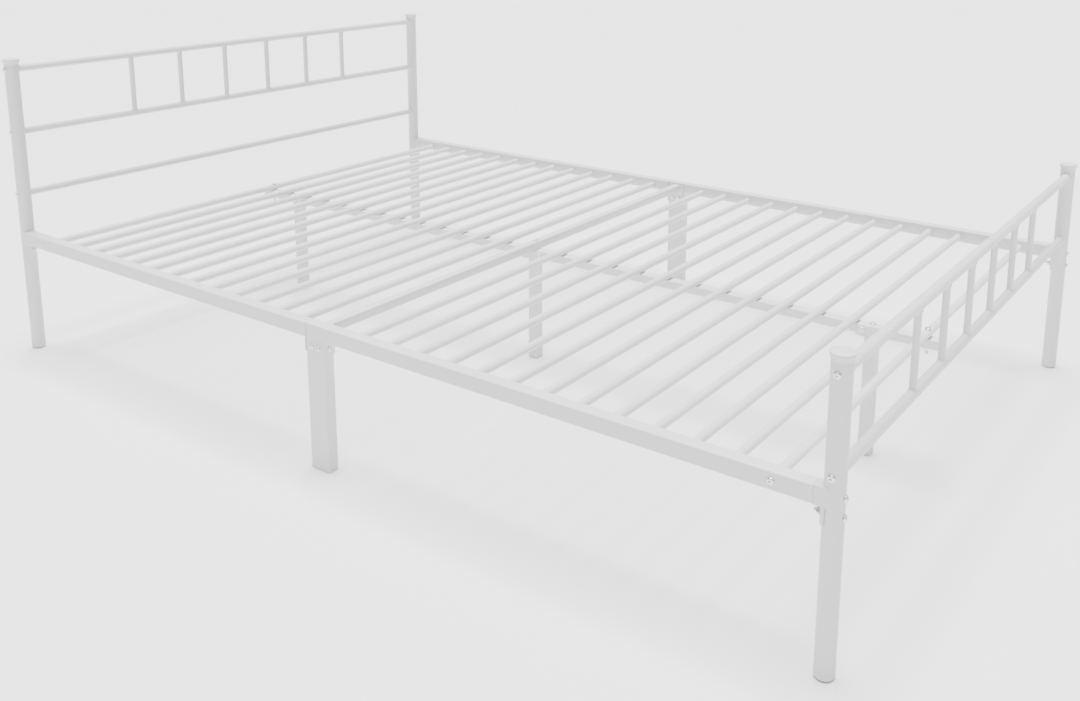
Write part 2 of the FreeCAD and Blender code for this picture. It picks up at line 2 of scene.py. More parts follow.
# # A white tubular bed frame, finished in Blender
# The bed arrives here as an assembly of CAD nodes: posts, rails, slats, legs, brackets and
# their bolts. The tubes already have their real shape, so this lesson keeps them and gives
# them a powder-coat finish. The small things that a hand touches or an eye stops at are
# modelled again: the post caps, the feet, the moulded plugs, the bolts, the nuts and the
# weld beads. We start by loading the frame.

# %% Load the frame
import bmesh
import bpy
import json
import math
from mathutils import Matrix, Quaternion, Vector


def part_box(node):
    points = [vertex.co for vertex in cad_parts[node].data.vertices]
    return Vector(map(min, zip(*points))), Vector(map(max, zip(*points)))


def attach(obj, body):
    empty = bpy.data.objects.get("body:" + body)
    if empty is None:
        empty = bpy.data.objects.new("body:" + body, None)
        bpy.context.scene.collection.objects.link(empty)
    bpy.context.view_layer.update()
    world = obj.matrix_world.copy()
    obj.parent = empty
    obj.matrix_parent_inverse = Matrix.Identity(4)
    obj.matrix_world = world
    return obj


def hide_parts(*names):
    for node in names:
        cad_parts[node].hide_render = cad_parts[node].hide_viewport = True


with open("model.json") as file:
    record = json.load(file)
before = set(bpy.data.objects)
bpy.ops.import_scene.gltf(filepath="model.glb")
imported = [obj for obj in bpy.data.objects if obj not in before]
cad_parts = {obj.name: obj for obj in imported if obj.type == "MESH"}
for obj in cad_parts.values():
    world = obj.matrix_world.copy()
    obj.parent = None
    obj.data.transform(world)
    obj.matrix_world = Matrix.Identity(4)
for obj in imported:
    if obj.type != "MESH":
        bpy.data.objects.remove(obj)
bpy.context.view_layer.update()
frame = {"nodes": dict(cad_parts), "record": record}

# %% [markdown]
# ## The camera
# A bed is long and low, so it is seen from above one foot corner with the camera held
# nearly level. The lens is a mild wide angle. A downward shift of the lens keeps the posts
# close to upright in the view, as an architect's camera does, instead of tilting the whole
# camera down at the floor.

# %% Set up the camera
eye = Vector((1.557, -2.056, 1.094))
heading = math.radians(125.42)
dip = math.radians(12.04)
lean = math.radians(0.27)
lens_length = 37.2
sideways_shift = -0.026
downward_shift = -0.195

level = math.cos(dip)
look = Vector((math.cos(heading) * level, math.sin(heading) * level, -math.sin(dip)))

camera = bpy.data.objects.new("camera", bpy.data.cameras.new("camera"))
bpy.context.scene.collection.objects.link(camera)
camera.location = eye
camera.rotation_mode = "QUATERNION"
camera.rotation_quaternion = look.to_track_quat("-Z", "Y") @ Quaternion((0, 0, 1), lean)
camera.data.lens = lens_length
camera.data.shift_x = sideways_shift
camera.data.shift_y = downward_shift
bpy.context.scene.camera = camera

# %% [markdown]
# ## Reading places from the frame
# Nothing is placed by eye. Each CAD node's mesh says where its solids are, so one helper
# welds a copy of that mesh in memory and walks along its edges to find the separate solids.
# Identical fasteners share a node, and this is how each bolt in it is found again.

# %% Find the separate solids of a node
same_point = 0.000001


def solids_in(node):
    work = bmesh.new()
    work.from_mesh(frame["nodes"][node].data)
    bmesh.ops.remove_doubles(work, verts=work.verts, dist=same_point)
    waiting = set(work.verts)
    solids = []
    for start in work.verts:
        if start not in waiting:
            continue
        waiting.remove(start)
        found = [start]
        for vertex in found:
            for edge in vertex.link_edges:
                other = edge.other_vert(vertex)
                if other in waiting:
                    waiting.remove(other)
                    found.append(other)
        solids.append([vertex.co.copy() for vertex in found])
    work.free()
    return solids


def box_of(points):
    low = Vector([min(p[axis] for p in points) for axis in range(3)])
    high = Vector([max(p[axis] for p in points) for axis in range(3)])
    return low, high


print("corner bolts found:", len(solids_in("corner_bolts")))

# %% [markdown]
# ## Working like a machinist
# Blender's operators act on whatever is selected, so each step starts by selecting nothing.
# Moulded parts start as a block of the right size. Round parts are turned: a circle is
# filled, then its face is extruded and resized ring by ring, like a profile followed by a
# lathe tool. A list of (radius, height) pairs is then the whole drawing of a cap, a foot or
# a bolt. Blocks and turned parts are finished alike, with their faces turned outwards.

# %% Helpers for selecting
def select_nothing():
    if bpy.context.object and bpy.context.object.mode != "OBJECT":
        bpy.ops.object.mode_set(mode="OBJECT")
    bpy.ops.object.select_all(action="DESELECT")


def work_on(piece):
    select_nothing()
    piece.select_set(True)
    bpy.context.view_layer.objects.active = piece


def select_parts(piece, kind, test):
    bpy.ops.mesh.select_mode(type=kind)
    bpy.ops.mesh.select_all(action="DESELECT")
    work = bmesh.from_edit_mesh(piece.data)
    for part in (work.faces if kind == "FACE" else work.edges):
        if test(part):
            part.select_set(True)
    bmesh.update_edit_mesh(piece.data)


# %% Helpers for starting and finishing a mesh
def finish_mesh(merge_distance=None):
    bpy.ops.mesh.select_all(action="SELECT")
    if merge_distance:
        bpy.ops.mesh.remove_doubles(threshold=merge_distance)
    bpy.ops.mesh.normals_make_consistent(inside=False)
    bpy.ops.object.mode_set(mode="OBJECT")


def block(name, low, high):
    select_nothing()
    bpy.ops.mesh.primitive_cube_add(size=1, location=(low + high) / 2, scale=high - low)
    piece = bpy.context.object
    piece.name = name
    bpy.ops.object.transform_apply(location=True, rotation=True, scale=True)
    return piece


def turned(name, rings, sides):
    select_nothing()
    radius, height = rings[0]
    bpy.ops.mesh.primitive_circle_add(
        vertices=sides, radius=radius, fill_type="NGON", location=(0, 0, height)
    )
    piece = bpy.context.object
    piece.name = name
    bpy.ops.object.transform_apply(location=True, rotation=True, scale=True)
    bpy.ops.object.mode_set(mode="EDIT")
    bpy.ops.mesh.select_all(action="SELECT")
    for next_radius, next_height in rings[1:]:
        rise = next_height - height
        bpy.ops.mesh.extrude_region_move(TRANSFORM_OT_translate={"value": (0, 0, rise)})
        growth = next_radius / radius
        bpy.ops.transform.resize(value=(growth, growth, 1), center_override=(0, 0, next_height))
        radius = next_radius
        height = next_height
    finish_mesh()
    return piece


def arc_rings(centre_radius, centre_height, radius, start, stop, steps):
    rings = []
    for step in range(steps + 1):
        angle = math.radians(start + (stop - start) * step / steps)
        r = centre_radius + radius * math.cos(angle)
        rings.append((r, centre_height + radius * math.sin(angle)))
    return rings


def smooth(piece, sharp_angle):
    work_on(piece)
    bpy.ops.object.shade_smooth_by_angle(angle=math.radians(sharp_angle))


# %% [markdown]
# ## One master, many copies
# A part that repeats is modelled once, standing on the origin and pointing up. Each copy
# gets a mesh of its own, and the copy's place and turn go into that mesh, so its object
# stays at the origin like the CAD nodes do. The copies that stand for one CAD node are
# joined, and the master is thrown away.

# %% Helpers for copying and fitting
up = Vector((0, 0, 1))
pieces_by_slot = {"white_powder_coat": [], "white_plastic": [], "zinc_steel": []}


def along(axis, sign):
    direction = Vector((0, 0, 0))
    direction[axis] = sign
    return direction


def copy_to(master, spot, direction, spin):
    copy = bpy.data.objects.new(master.name + "_copy", master.data.copy())
    bpy.context.scene.collection.objects.link(copy)
    turn = up.rotation_difference(direction).to_matrix().to_4x4()
    copy.data.transform(Matrix.Translation(spot) @ turn @ Matrix.Rotation(spin, 4, "Z"))
    return copy


def joined(name, copies):
    work_on(copies[0])
    for copy in copies[1:]:
        copy.select_set(True)
    if len(copies) > 1:
        bpy.ops.object.join()
    copies[0].name = name
    return copies[0]


def discard(master):
    bpy.data.objects.remove(master)


def fit(piece, slot, *nodes):
    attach(piece, "root")
    if nodes:
        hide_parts(*nodes)
    pieces_by_slot[slot].append(piece)
    print(piece.name, len(piece.data.polygons), "faces")


# %% [markdown]
# ## Post caps
# Each post ends in a moulded cap: a short collar that flares out to a thin rounded rim with
# a slightly domed top. Lathe work, so it is turned. The flare leaves the post upright and
# bends outwards in one arc. A hair-wide step under it makes the dark line that shows the cap
# is a separate moulding pressed into the tube.

# %% Measures of the post caps
board_posts = (("headboard", "right_headboard_post"), ("footboard", "right_footboard_post"))
post_low, post_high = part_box("right_headboard_post")
post_radius = (post_high.x - post_low.x) / 2
round_sides = 64
round_crease = 40
spigot_inset = 0.0014
spigot_tip_inset = 0.0016
cap_spigot = 0.004
joint_step = 0.00025
rim_thickness = 0.003
rim_edge = 0.0011
crown_height = 0.0012
crown_step = 0.0003
crown_edge = 0.82
crown_rings = 9
print("the posts are", round(2000 * post_radius, 1), "millimetres wide")

# %% Turn the post caps
def crown_profile(cap_radius, cap_height):
    foot = cap_radius * crown_edge
    rise = crown_height - crown_step
    dome_radius = (foot ** 2 + rise ** 2) / (2 * rise)
    profile = [(foot + crown_step, cap_height - crown_height)]
    for step in range(crown_rings):
        r = foot * (1 - step / (crown_rings - 0.5))
        drop = dome_radius - math.sqrt(dome_radius ** 2 - r ** 2)
        profile.append((r, cap_height - drop))
    return profile


def post_cap(cap_radius, cap_height):
    reach = cap_radius - post_radius
    rise = cap_height - crown_height - rim_thickness
    flare_radius = (reach ** 2 + rise ** 2) / (2 * reach)
    flare_turn = math.degrees(math.asin(rise / flare_radius))
    flare_centre = post_radius + flare_radius
    flare_stop = 180 - flare_turn
    flare = arc_rings(flare_centre, 0, flare_radius, start=180, stop=flare_stop, steps=10)
    flare = [ring for ring in flare if ring[1] > 2 * joint_step]
    rim_top = cap_height - crown_height
    edge_centre = cap_radius - rim_edge
    lower_edge = arc_rings(edge_centre, rise + rim_edge, rim_edge, start=-50, stop=0, steps=4)
    upper_edge = arc_rings(edge_centre, rim_top - rim_edge, rim_edge, start=0, stop=80, steps=6)
    spigot = [
        (post_radius - spigot_tip_inset, -cap_spigot),
        (post_radius - spigot_inset, 0.0),
        (post_radius - joint_step, 0.0),
        (post_radius - joint_step, joint_step),
        (post_radius, 2 * joint_step),
    ]
    crown = crown_profile(cap_radius, cap_height)
    cap = turned("cap", spigot + flare + lower_edge + upper_edge + crown, round_sides)
    smooth(cap, round_crease)
    return cap


for board, post in board_posts:
    node = board + "_post_caps"
    tube_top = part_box(post)[1].z
    copies = []
    for points in solids_in(node):
        low, high = box_of(points)
        master = post_cap((high.x - low.x) / 2, high.z - tube_top)
        middle = (low + high) / 2
        copies.append(copy_to(master, Vector((middle.x, middle.y, tube_top)), up, 0))
        discard(master)
    fit(joined(board + "_flared_caps", copies), "white_plastic", node)

# %% [markdown]
# ## Post feet
# A plastic glide closes the lower end of every post and keeps the tube off the floor. It is
# as wide as the tube and its lower edge is well rounded, with a shallow dish moulded into
# the base so that it stands on a ring and doesn't rock. Turned again, from the dish upwards.

# %% Turn the post feet
foot_rounding = 0.006
foot_spigot = 0.012
dish_radius = 0.0065
dish_depth = 0.0008
dish_slope = 0.001
dish_lip = 0.0008


def post_foot(height):
    dish = [
        (dish_radius - dish_slope, dish_depth),
        (dish_radius, dish_depth / 2),
        (dish_radius + dish_lip, 0.0),
    ]
    edge_centre = post_radius - foot_rounding
    rounding = arc_rings(edge_centre, foot_rounding, foot_rounding, start=-90, stop=0, steps=10)
    collar = [
        (post_radius, height - 2 * joint_step),
        (post_radius - joint_step, height - joint_step),
        (post_radius - joint_step, height),
        (post_radius - spigot_inset, height),
        (post_radius - spigot_tip_inset, height + foot_spigot),
    ]
    foot = turned("foot", dish + rounding + collar, round_sides)
    smooth(foot, round_crease)
    return foot


for board, post in board_posts:
    node = board + "_post_feet"
    master = post_foot(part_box(post)[0].z)
    copies = []
    for points in solids_in(node):
        low, high = box_of(points)
        middle = (low + high) / 2
        copies.append(copy_to(master, Vector((middle.x, middle.y, low.z)), up, 0))
    discard(master)
    fit(joined(board + "_glides", copies), "white_plastic", node)

# %% [markdown]
# ## Button-head bolts
# The frame is held together by button-head socket bolts. The shank and its thread are
# turned as a row of small ridges, then the underside of the head and its dome. The hexagon
# socket can't be turned, so it is cut with a Boolean modifier and a six-sided plug. A Boolean
# leaves doubled points, so they are merged after it. One master is made for each length.

# %% Measures of a bolt
bolt_sides = 24
bolt_crease = 40
shank_radius = 0.003
shank_tip = 0.0006
plain_shank = 0.0015
thread_depth = 0.00028
thread_pitch = 0.001
thread_runout = 0.0003
head_radius = 0.00575
head_height = 0.0034
head_lip = 0.0008
head_chamfer = 0.0002
dome_steps = 6
socket_flats = 0.004
socket_margin = 0.72
socket_depth = 0.002
print("bolt heads are", round(2000 * head_radius, 1), "millimetres wide")

# %% Model a bolt
doubled_point = 0.000005


def combine(piece, other, operation):
    work_on(piece)
    carve = piece.modifiers.new("carve", "BOOLEAN")
    carve.operation = operation
    carve.solver = "EXACT"
    carve.object = other
    bpy.ops.object.modifier_apply(modifier="carve")
    discard(other)
    bpy.ops.object.mode_set(mode="EDIT")
    finish_mesh(doubled_point)


def button_bolt(length):
    root = shank_radius - thread_depth
    rings = [(root - shank_tip, -length), (root, -length + shank_tip)]
    for ridge in range(int((length - plain_shank) / thread_pitch)):
        height = -length + shank_tip + thread_pitch * (ridge + 0.5)
        rings.append((shank_radius, height))
        rings.append((root, height + thread_pitch / 2))
    rings += [(shank_radius, -thread_runout), (shank_radius, 0.0)]
    rings += [(head_radius - head_chamfer, 0.0), (head_radius, head_chamfer)]
    rings.append((head_radius, head_lip))
    dome_height = head_height - head_lip
    face_radius = socket_flats * socket_margin
    for step in range(1, dome_steps + 1):
        angle = math.radians(90 * step / dome_steps)
        r = face_radius + (head_radius - face_radius) * math.cos(angle)
        rings.append((r, head_lip + dome_height * math.sin(angle)))
    bolt = turned("bolt", rings, bolt_sides)
    select_nothing()
    bpy.ops.mesh.primitive_cylinder_add(
        vertices=6,
        radius=socket_flats / math.sqrt(3),
        depth=2 * socket_depth,
        location=(0, 0, head_height),
    )
    combine(bolt, bpy.context.object, "DIFFERENCE")
    smooth(bolt, bolt_crease)
    return bolt


# %% [markdown]
# ## Putting the bolts in
# A bolt's axis is the longest side of its box. Its head is at the end where its points are
# wider than the shank, and the length under the head picks the master. Real bolts never stop
# at the same angle, so each copy is turned a little further than the one before.

# %% Put a bolt wherever the frame has one
wider_than_shank = 1.3
bolt_turn = 0.7


def bolt_place(points):
    low, high = box_of(points)
    size = high - low
    axis = max(range(3), key=lambda k: size[k])
    middle = (low + high) / 2
    head_points = []
    for p in points:
        offset = p - middle
        offset[axis] = 0
        if offset.length > shank_radius * wider_than_shank:
            head_points.append(p[axis])
    sign = 1 if sum(head_points) / len(head_points) > middle[axis] else -1
    seat = middle.copy()
    seat[axis] = middle[axis] + sign * (size[axis] / 2 - head_height)
    return seat, along(axis, sign), size[axis] - head_height


def fit_bolts(node):
    copies = []
    masters = {}
    for number, points in enumerate(solids_in(node)):
        seat, direction, length = bolt_place(points)
        key = round(length, 4)
        if key not in masters:
            masters[key] = button_bolt(length)
        copies.append(copy_to(masters[key], seat, direction, number * bolt_turn))
    for master in masters.values():
        discard(master)
    fit(joined(node + "_turned", copies), "zinc_steel", node)


for node in sorted(node for node in frame["nodes"] if node.endswith("_bolts")):
    fit_bolts(node)

# %% [markdown]
# ## Hexagon nuts
# A nut is a six-sided bar with its corners chamfered on both faces. The bar is a six-sided
# cylinder; the chamfer comes from keeping only what it shares with a turned, double-tapered
# disc, which is a Boolean intersection. The bore is cut last, a little wider than the bolt.

# %% Measures of a nut
nut_flats = 0.010
nut_height = 0.005
nut_chamfer = 0.0006
nut_crease = 25
nut_turn = 0.4
taper_sides = 48
taper_inset = 0.0002
taper_clearance = 0.0003
taper_overlap = 0.00001
bore_clearance = 0.00003
bore_flare = 0.0004
flare_start = 0.0002
flare_end = 0.0006
bore_overrun = 0.001
print("nuts are", round(1000 * nut_flats, 1), "millimetres across the flats")

# %% Model a nut
def hexagon_nut():
    select_nothing()
    corner = nut_flats / math.sqrt(3)
    bpy.ops.mesh.primitive_cylinder_add(
        vertices=6, radius=corner, depth=nut_height, location=(0, 0, nut_height / 2)
    )
    nut = bpy.context.object
    nut.name = "nut"
    bpy.ops.object.transform_apply(location=True, rotation=True, scale=True)
    taper_end = nut_flats / 2 - taper_inset
    taper_waist = corner + taper_clearance
    taper_rings = [
        (taper_end, -taper_overlap),
        (taper_waist, nut_chamfer),
        (taper_waist, nut_height - nut_chamfer),
        (taper_end, nut_height + taper_overlap),
    ]
    combine(nut, turned("taper", taper_rings, taper_sides), "INTERSECT")
    bore_mouth = shank_radius + bore_flare
    bore_radius = shank_radius + bore_clearance
    bore_rings = [
        (bore_mouth, -bore_overrun),
        (bore_mouth, flare_start),
        (bore_radius, flare_end),
        (bore_radius, nut_height - flare_end),
        (bore_mouth, nut_height - flare_start),
        (bore_mouth, nut_height + bore_overrun),
    ]
    combine(nut, turned("bore", bore_rings, bolt_sides), "DIFFERENCE")
    smooth(nut, nut_crease)
    return nut


nut_master = hexagon_nut()
for node in sorted(node for node in frame["nodes"] if node.endswith("_nuts")):
    copies = []
    for number, points in enumerate(solids_in(node)):
        low, high = box_of(points)
        size = high - low
        axis = min(range(3), key=lambda k: size[k])
        spot = (low + high) / 2
        spot[axis] = low[axis]
        copies.append(copy_to(nut_master, spot, along(axis, 1), number * nut_turn))
    fit(joined(node + "_chamfered", copies), "zinc_steel", node)
discard(nut_master)

# %% [markdown]
# ## Moulded plugs and pads
# The square and box tubes are closed by push-in mouldings. Each one starts as a block: the
# edges along the tube are bevelled to the tube's own corner radius, the rim is rounded, the
# outer face is dished a little, and a stem is extruded from the back to go into the tube.
# The same three cuts, with other numbers, make the leg plugs, the leg feet and the rail ends.

# %% Model a moulded plug
tube_corner = 0.0025
corner_segments = 5
rim_segments = 4
rim_land = 0.0005
face_dish = 0.0003
plug_crease = 30
level_slack = 0.00001
nearly_parallel = 0.99


def moulded_plug(name, low, high, outward, rim, stem_inset, stem_length):
    plug = block(name, low, high)
    outer_level = max(low.dot(outward), high.dot(outward))
    inner_level = min(low.dot(outward), high.dot(outward))

    def runs_outward(edge):
        way = (edge.verts[0].co - edge.verts[1].co).normalized()
        return abs(way.dot(outward)) > nearly_parallel

    def at_outer_end(part):
        return all(abs(v.co.dot(outward) - outer_level) < level_slack for v in part.verts)

    def at_inner_end(part):
        return all(abs(v.co.dot(outward) - inner_level) < level_slack for v in part.verts)

    stem = tuple(-stem_length * outward)
    bpy.ops.object.mode_set(mode="EDIT")
    select_parts(plug, "EDGE", runs_outward)
    bpy.ops.mesh.bevel(offset=tube_corner, segments=corner_segments, affect="EDGES")
    select_parts(plug, "EDGE", at_outer_end)
    bpy.ops.mesh.bevel(offset=rim, segments=rim_segments, affect="EDGES")
    select_parts(plug, "FACE", at_outer_end)
    bpy.ops.mesh.inset(thickness=rim_land, depth=0)
    bpy.ops.mesh.inset(thickness=face_dish, depth=-face_dish)
    select_parts(plug, "FACE", at_inner_end)
    bpy.ops.mesh.inset(thickness=stem_inset, depth=0)
    bpy.ops.mesh.extrude_region_move(TRANSFORM_OT_translate={"value": stem})
    finish_mesh()
    smooth(plug, plug_crease)
    return plug


# %% [markdown]
# ## Closing the tubes
# Each CAD plug is a head and a stem in one solid. The head begins where the tube ends, so
# its box is cut back to the tube's end, and the stem is then drawn into the tube. The pads
# under the legs get a rounder rim than the plugs, because they rub on the floor.

# %% Plugs and pads of the middle side legs, and the centre rail's ends
leg_wall = 0.0016
rail_wall = 0.0014
plug_rim = 0.0007
pad_rim = 0.0014
plug_stem = 0.014
pad_stem = 0.018
rail_stem = 0.012
leg_low, leg_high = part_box("right_middle_leg")
rail_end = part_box("foot_centre_rail")[1].x

copies = []
for points in solids_in("middle_leg_top_plugs"):
    low, high = box_of(points)
    low.z = leg_high.z
    copies.append(moulded_plug("plug", low, high, up, plug_rim, leg_wall, plug_stem))
fit(joined("middle_leg_plugs_moulded", copies), "white_plastic", "middle_leg_top_plugs")

copies = []
for points in solids_in("middle_leg_feet"):
    low, high = box_of(points)
    high.z = leg_low.z
    copies.append(moulded_plug("pad", low, high, -up, pad_rim, leg_wall, pad_stem))
fit(joined("middle_leg_pads_moulded", copies), "white_plastic", "middle_leg_feet")

copies = []
for points in solids_in("centre_rail_end_plugs"):
    low, high = box_of(points)
    outward = Vector((math.copysign(1, low.x + high.x), 0, 0))
    if outward.x > 0:
        low.x = rail_end
    else:
        high.x = -rail_end
    copies.append(moulded_plug("end", low, high, outward, plug_rim, rail_wall, rail_stem))
fit(joined("centre_rail_ends_moulded", copies), "white_plastic", "centre_rail_end_plugs")

# %% [markdown]
# ## Sleeve feet of the centre legs
# The three square centre legs stand in soft plastic sleeves. A sleeve is a rounded box with
# a square well for the tube. The upright and lower edges of a block are bevelled. Its top
# face is extruded in place, widened and extruded upwards, which makes the raised band round
# the mouth. That face is then inset by the wall's thickness and pushed down to make the well.

# %% Model the sleeve feet
sleeve_rounding = 0.004
sleeve_segments = 6
sleeve_wall = 0.0015
sleeve_crease = 30
band_height = 0.003
band_depth = 0.0005
facing_up = 0.9
sleeve_doubled_point = 0.00002
leg_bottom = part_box("middle_centre_leg")[0].z


def sleeve_foot(low, high):
    body_low = low + Vector((band_depth, band_depth, 0))
    body_high = high - Vector((band_depth, band_depth, band_height))
    sleeve = block("sleeve", body_low, body_high)
    growth = (high.x - low.x) / (body_high.x - body_low.x)
    mouth_centre = ((low.x + high.x) / 2, (low.y + high.y) / 2, body_high.z)
    well = (0, 0, leg_bottom - high.z)

    def rounded_edge(edge):
        return not all(abs(v.co.z - body_high.z) < level_slack for v in edge.verts)

    def highest_face(face):
        at_top = all(v.co.z > body_high.z - level_slack for v in face.verts)
        return at_top and face.normal.z > facing_up

    bpy.ops.object.mode_set(mode="EDIT")
    select_parts(sleeve, "EDGE", rounded_edge)
    bpy.ops.mesh.bevel(offset=sleeve_rounding, segments=sleeve_segments, affect="EDGES")
    select_parts(sleeve, "FACE", highest_face)
    bpy.ops.mesh.extrude_region_move()
    bpy.ops.transform.resize(value=(growth, growth, 1), center_override=mouth_centre)
    bpy.ops.mesh.extrude_region_move(TRANSFORM_OT_translate={"value": (0, 0, band_height)})
    bpy.ops.mesh.inset(thickness=sleeve_wall, depth=0)
    bpy.ops.mesh.extrude_region_move(TRANSFORM_OT_translate={"value": well})
    finish_mesh(sleeve_doubled_point)
    smooth(sleeve, sleeve_crease)
    return sleeve


copies = [sleeve_foot(*box_of(points)) for points in solids_in("centre_leg_feet")]
fit(joined("centre_leg_sleeves", copies), "white_plastic", "centre_leg_feet")

# %% [markdown]
# ## Weld beads
# Slats are welded to the side rails and spindles to the board rails, and a bare butt joint
# looks wrong: a real one has a small rippled fillet round it. A torus is the right start.
# Its points are shaken a little so that the bead looks laid by hand. Round a spindle the
# bead also dips at both sides, because it follows the round rail beneath it.

# %% Model the beads
bead_thickness = 0.0011
bead_ripple = 0.00016
bead_clearance = 0.0003
bead_segments = 44
bead_sides = 8
bead_crease = 80


def weld_bead(ring_radius, seed):
    select_nothing()
    bpy.ops.mesh.primitive_torus_add(
        major_segments=bead_segments,
        minor_segments=bead_sides,
        major_radius=ring_radius,
        minor_radius=bead_thickness,
    )
    bead = bpy.context.object
    bead.name = "bead"
    bpy.ops.object.mode_set(mode="EDIT")
    bpy.ops.mesh.select_all(action="SELECT")
    bpy.ops.transform.vertex_random(offset=bead_ripple, uniform=1.0, normal=0.0, seed=seed)
    bpy.ops.object.mode_set(mode="OBJECT")
    smooth(bead, bead_crease)
    return bead


def saddle_bead(ring_radius, rail_radius, seed):
    bead = weld_bead(ring_radius, seed)
    for vertex in bead.data.vertices:
        across = ring_radius * vertex.co.x / math.hypot(vertex.co.x, vertex.co.y)
        vertex.co.z += math.sqrt(rail_radius ** 2 - across ** 2) - rail_radius
    return bead


# %% [markdown]
# ## Laying the beads
# The slats are many and all alike, so three beads with different ripples take turns, each
# copy turned further round, and no two neighbours look the same. A bead's middle stands a
# little off the rail's face, so that enough of it shows. The spindles are few, so every
# spindle gets a bead of its own, used at its foot and upside down at its top.

# %% Weld the slats to the side rails
bead_stand_off = 0.3
bead_turn = 1.9
slat_low, slat_high = box_of(solids_in("foot_slats")[0])
slat_radius = (slat_high.x - slat_low.x) / 2
bead_masters = [weld_bead(slat_radius + bead_clearance, seed) for seed in (3, 8, 21)]
for side, name in ((-1, "right"), (1, "left")):
    copies = []
    for node in ("head_slats", "foot_slats"):
        for number, points in enumerate(solids_in(node)):
            low, high = box_of(points)
            spot = (low + high) / 2
            spot.y = (low.y if side < 0 else high.y) - side * bead_thickness * bead_stand_off
            master = bead_masters[number % len(bead_masters)]
            copies.append(copy_to(master, spot, Vector((0, -side, 0)), number * bead_turn))
    fit(joined(name + "_slat_welds", copies), "white_powder_coat")
for master in bead_masters:
    discard(master)

# %% Weld the spindles to the board rails
for board, lower, upper in (
    ("headboard", "headboard_middle_rail", "headboard_top_rail"),
    ("footboard", "footboard_bottom_rail", "footboard_top_rail"),
):
    rail_low, rail_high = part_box(lower)
    rail_radius = (rail_high.z - rail_low.z) / 2
    upper_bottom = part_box(upper)[0].z
    copies = []
    for number, points in enumerate(solids_in(board + "_spindles")):
        low, high = box_of(points)
        spindle_radius = (high.y - low.y) / 2
        master = saddle_bead(spindle_radius + bead_clearance, rail_radius, number + 1)
        middle = (low + high) / 2
        copies.append(copy_to(master, Vector((middle.x, middle.y, rail_high.z)), up, 0))
        copies.append(copy_to(master, Vector((middle.x, middle.y, upper_bottom)), -up, 0))
        discard(master)
    fit(joined(board + "_spindle_welds", copies), "white_powder_coat")

# %% [markdown]
# ## Painting with nodes
# Every finish is built from the same few nodes, all fed by Object coordinates, so a pattern
# runs on from one tube to the next at its real size. A ramp turns a noise into two close
# colours, a map range turns it into a span of roughness, and a bump node into relief.

# %% Helpers for materials
noise_low = 0.3
noise_high = 0.7


def new_material(name):
    material = bpy.data.materials.new(name)
    material.use_nodes = True
    tree = material.node_tree
    shader = tree.nodes["Principled BSDF"]
    place = tree.nodes.new("ShaderNodeTexCoord")
    return material, tree, shader, place


def noise(tree, place, scale, detail):
    texture = tree.nodes.new("ShaderNodeTexNoise")
    texture.inputs["Scale"].default_value = scale
    texture.inputs["Detail"].default_value = detail
    tree.links.new(place.outputs["Object"], texture.inputs["Vector"])
    return texture.outputs["Fac"]


def ramp(tree, value, stops):
    colours = tree.nodes.new("ShaderNodeValToRGB")
    colours.color_ramp.elements[0].position = stops[0][0]
    colours.color_ramp.elements[0].color = (*stops[0][1], 1)
    colours.color_ramp.elements[1].position = stops[1][0]
    colours.color_ramp.elements[1].color = (*stops[1][1], 1)
    tree.links.new(value, colours.inputs["Fac"])
    return colours.outputs["Color"]


def spread(tree, value, low, high):
    between = tree.nodes.new("ShaderNodeMapRange")
    between.inputs["From Min"].default_value = noise_low
    between.inputs["From Max"].default_value = noise_high
    between.inputs["To Min"].default_value = low
    between.inputs["To Max"].default_value = high
    tree.links.new(value, between.inputs["Value"])
    return between.outputs["Result"]


def bump(tree, shader, value, strength, depth):
    relief = tree.nodes.new("ShaderNodeBump")
    relief.inputs["Strength"].default_value = strength
    relief.inputs["Distance"].default_value = depth
    tree.links.new(value, relief.inputs["Height"])
    tree.links.new(relief.outputs["Normal"], shader.inputs["Normal"])


# %% [markdown]
# ## Powder coat
# Powder coat is a baked plastic skin on steel. From a step away it is plain white, up close
# it has a fine orange-peel ripple, and its gloss is a little uneven. Three scales of noise
# give that: a millimetre ripple in the bump, thumb-sized patches in the roughness, and a
# very faint drift in the colour. A light clear coat keeps the highlights crisp.

# %% Make the powder coat
def powder_coat():
    material, tree, shader, place = new_material("white_powder_coat")
    cooler_white = (0.66, 0.665, 0.67)
    warmer_white = (0.70, 0.70, 0.705)
    drift = noise(tree, place, scale=4, detail=3)
    tint = ramp(tree, drift, [(noise_low, cooler_white), (noise_high, warmer_white)])
    tree.links.new(tint, shader.inputs["Base Color"])
    patches = noise(tree, place, scale=45, detail=4)
    tree.links.new(spread(tree, patches, low=0.30, high=0.44), shader.inputs["Roughness"])
    orange_peel = noise(tree, place, scale=650, detail=2)
    bump(tree, shader, orange_peel, strength=0.22, depth=0.0004)
    shader.inputs["Specular IOR Level"].default_value = 0.3
    shader.inputs["Coat Weight"].default_value = 0.08
    shader.inputs["Coat Roughness"].default_value = 0.2
    return material


# %% [markdown]
# ## Moulded plastic
# Caps and feet are polypropylene in a white that is a touch warmer and duller than the
# paint. The mould is spark-eroded, which leaves a very fine grain, and the plastic scatters
# a little light, so its roughness is higher and no clear coat sits on it.

